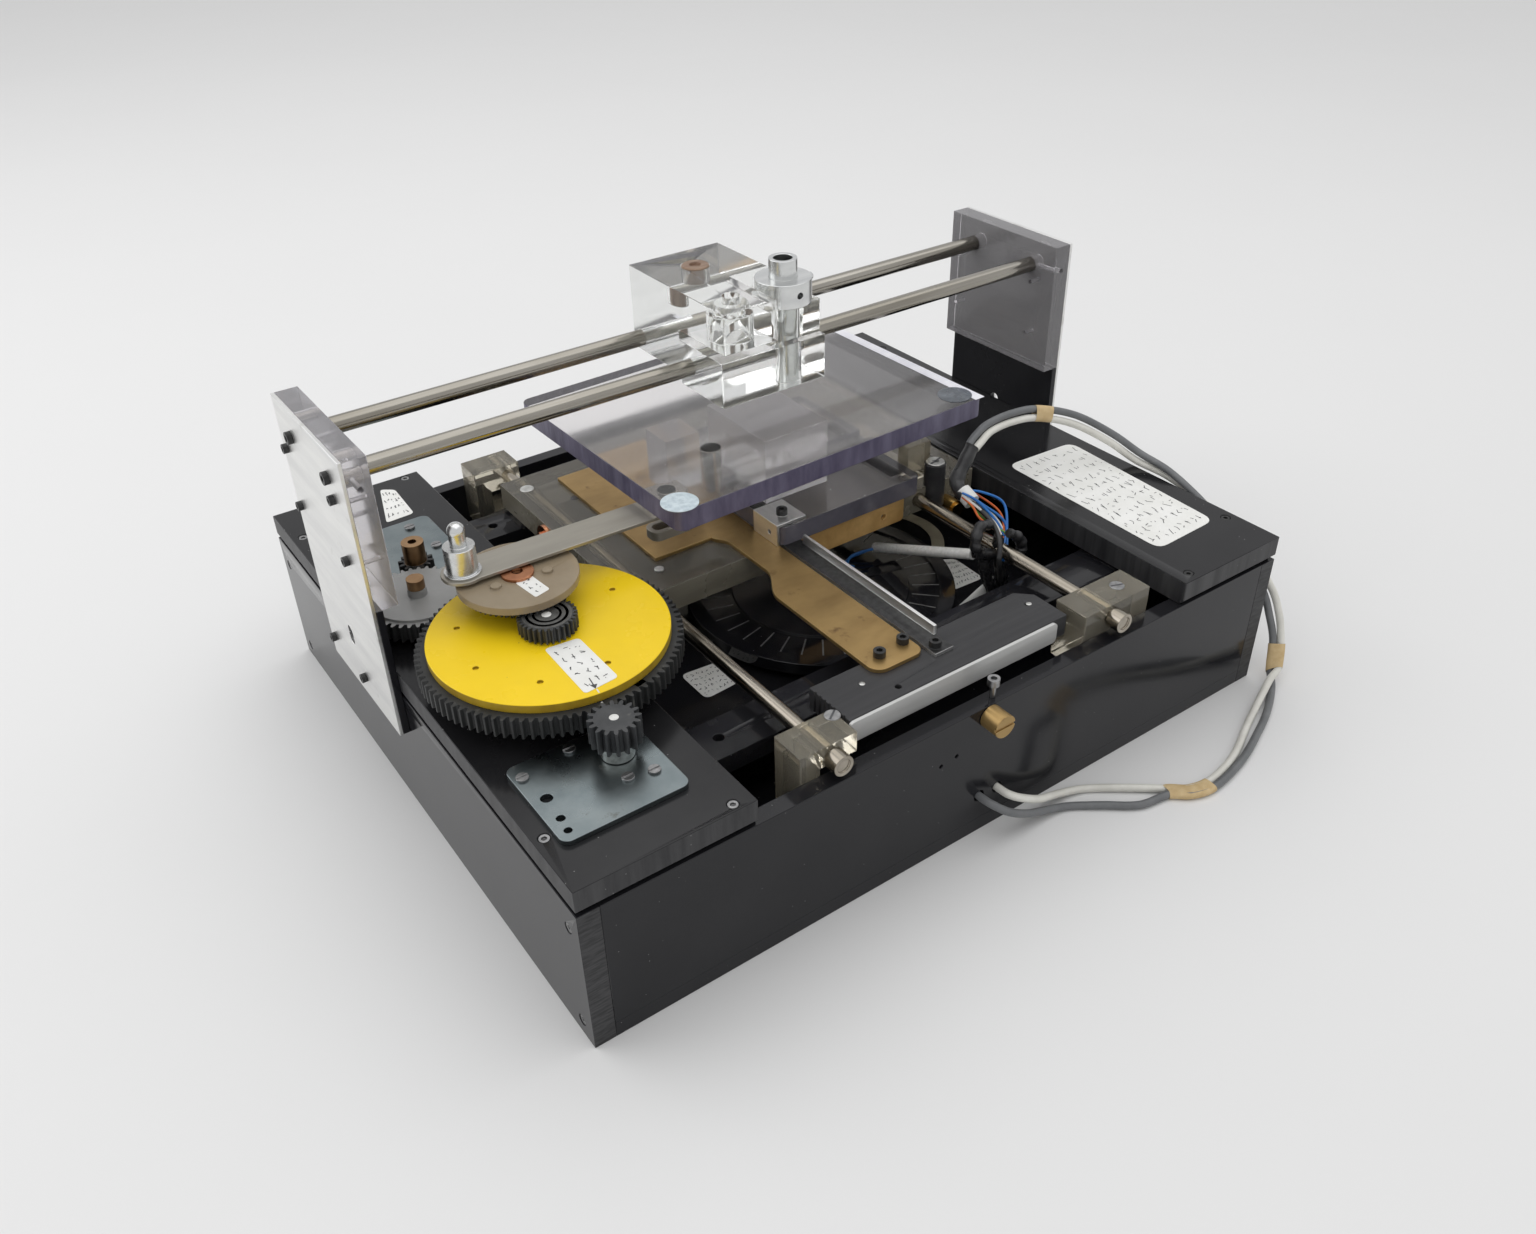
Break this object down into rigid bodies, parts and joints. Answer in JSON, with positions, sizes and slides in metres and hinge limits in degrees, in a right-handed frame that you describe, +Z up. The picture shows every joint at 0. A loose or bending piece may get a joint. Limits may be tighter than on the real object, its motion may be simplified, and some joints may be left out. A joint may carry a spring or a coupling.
{
  "type": "drawing machine",
  "caption": "Open black box with a gear and crank train on the left, a clear table that slides both ways inside it, and a pen carriage on two rods across a gantry.",
  "frame": {"origin": "Centre of the box's underside, on the surface it stands on", "axes": "+X to the right along the box's front, +Y to its back, +Z up"},
  "size_m": [0.5219, 0.4668, 0.2772],
  "materials": {
    "black_acrylic": "gloss",
    "black_matte": "matte",
    "smoky_acrylic": "gloss",
    "clear_acrylic": "gloss",
    "warm_acrylic": "gloss",
    "plate_aluminium": "satin",
    "polished_aluminium": "polished",
    "rod_steel": "polished",
    "screw_steel": "satin",
    "zinc_plate": "satin",
    "gear_nylon": "matte",
    "grey_nylon": "matte",
    "yellow_disc": "gloss",
    "brown_disc": "gloss",
    "bronze": "satin",
    "copper": "satin",
    "brass": "satin",
    "white_sheath": "matte",
    "grey_sheath": "matte",
    "black_tape": "gloss"
  },
  "bodies": {
    "box": {"base_plate": "black_acrylic", "left_side_panel": "black_acrylic", "right_side_panel": "black_acrylic", "front_panel": "black_acrylic", "back_panel": "black_acrylic", "left_top_plate": "black_acrylic", "right_top_plate": "black_acrylic", "inner_rails": "black_acrylic", "drive_shelf": "black_acrylic", "box_screws": "screw_steel", "gantry_plates": "plate_aluminium", "left_rod_block": "smoky_acrylic", "right_rod_block": "smoky_acrylic", "gantry_spacers": "black_acrylic", "gantry_rods": "rod_steel", "gantry_screws": "screw_steel", "front_motor_plate": "zinc_plate", "rear_motor_plate": "zinc_plate", "y_motors": "screw_steel", "gear_axles": "bronze", "sun_gear": "grey_nylon", "x_spindle": "screw_steel", "front_left_bracket": "warm_acrylic", "front_right_bracket": "warm_acrylic", "rear_brackets": "warm_acrylic", "y_rods": "rod_steel", "white_cable": "white_sheath", "grey_cable": "grey_sheath", "wire_bundle": "black_tape"},
    "main_wheel": {"main_gear": "gear_nylon", "main_disc": "yellow_disc", "planet_axle": "screw_steel"},
    "front_wheel": {"front_pinion": "grey_nylon"},
    "idler_wheel": {"idler_gear": "gear_nylon"},
    "rear_wheel": {"rear_pinion": "bronze"},
    "planet_wheel": {"planet_gear": "grey_nylon", "planet_disc": "brown_disc", "planet_hub": "copper"},
    "inner_wheel": {"x_main_disc": "black_acrylic"},
    "knob": {"front_knob": "brass"},
    "carriage": {"carriage_slab": "warm_acrylic", "right_block": "warm_acrylic", "brass_arm": "brass", "brass_bar": "brass", "strut": "plate_aluminium", "deck_bracket": "plate_aluminium", "front_block": "black_matte", "block_strip": "plate_aluminium", "deck_plate": "smoky_acrylic", "deck_motor": "black_matte"},
    "table": {"slide_blocks": "clear_acrylic", "table_fittings": "rod_steel", "drawing_table": "smoky_acrylic"},
    "link": {"connecting_strip": "polished_aluminium", "crank_post": "polished_aluminium"},
    "pen_carriage": {"pen_block": "clear_acrylic"},
    "pen": {"pen_collar": "polished_aluminium", "pen_tube": "polished_aluminium"}
  },
  "joints": [
    {"name": "main_turn", "type": "hinge", "parent": "box", "child": "main_wheel", "pos_m": [-0.1765, -0.057, 0.12], "axis": [0, 0, 1], "continuous": true},
    {"name": "front_turn", "type": "hinge", "parent": "box", "child": "front_wheel", "pos_m": [-0.18398, -0.13765, 0.12], "axis": [0, 0, 1], "continuous": true},
    {"name": "idler_turn", "type": "hinge", "parent": "box", "child": "idler_wheel", "pos_m": [-0.21294, 0.03505, 0.12], "axis": [0, 0, 1], "continuous": true},
    {"name": "rear_turn", "type": "hinge", "parent": "box", "child": "rear_wheel", "pos_m": [-0.19909, 0.07151, 0.12], "axis": [0, 0, 1], "continuous": true},
    {"name": "planet_turn", "type": "hinge", "parent": "main_wheel", "child": "planet_wheel", "pos_m": [-0.17592, -0.024, 0.14], "axis": [0, 0, 1], "continuous": true},
    {"name": "inner_turn", "type": "hinge", "parent": "box", "child": "inner_wheel", "pos_m": [0.034, -0.016, 0.05], "axis": [0, 0, 1], "continuous": true},
    {"name": "knob_turn", "type": "hinge", "parent": "box", "child": "knob", "pos_m": [0.005, -0.203, 0.084], "axis": [0, 1, 0], "continuous": true},
    {"name": "carriage_slide", "type": "slide", "parent": "box", "child": "carriage", "axis": [0, 1, 0], "range_m": [-0.005, 0.02]},
    {"name": "table_slide", "type": "slide", "parent": "carriage", "child": "table", "axis": [1, 0, 0], "range_m": [-0.024, 0.088]},
    {"name": "link_swing", "type": "hinge", "parent": "table", "child": "link", "pos_m": [-0.076, -0.015, 0.156], "axis": [0, 0, 1], "range_deg": [-8, 8]},
    {"name": "pen_travel", "type": "slide", "parent": "box", "child": "pen_carriage", "axis": [1, 0, 0], "range_m": [-0.195, 0.195]},
    {"name": "pen_lift", "type": "slide", "parent": "pen_carriage", "child": "pen", "axis": [0, 0, 1], "range_m": [0, 0.02]}
  ],
  "couplings": [
    {"joint": "front_turn", "follows": "main_turn", "ratio": -5.75},
    {"joint": "idler_turn", "follows": "main_turn", "ratio": -2.3},
    {"joint": "rear_turn", "follows": "main_turn", "ratio": 7.6667},
    {"joint": "planet_turn", "follows": "main_turn", "ratio": 0.83333}
  ]
}
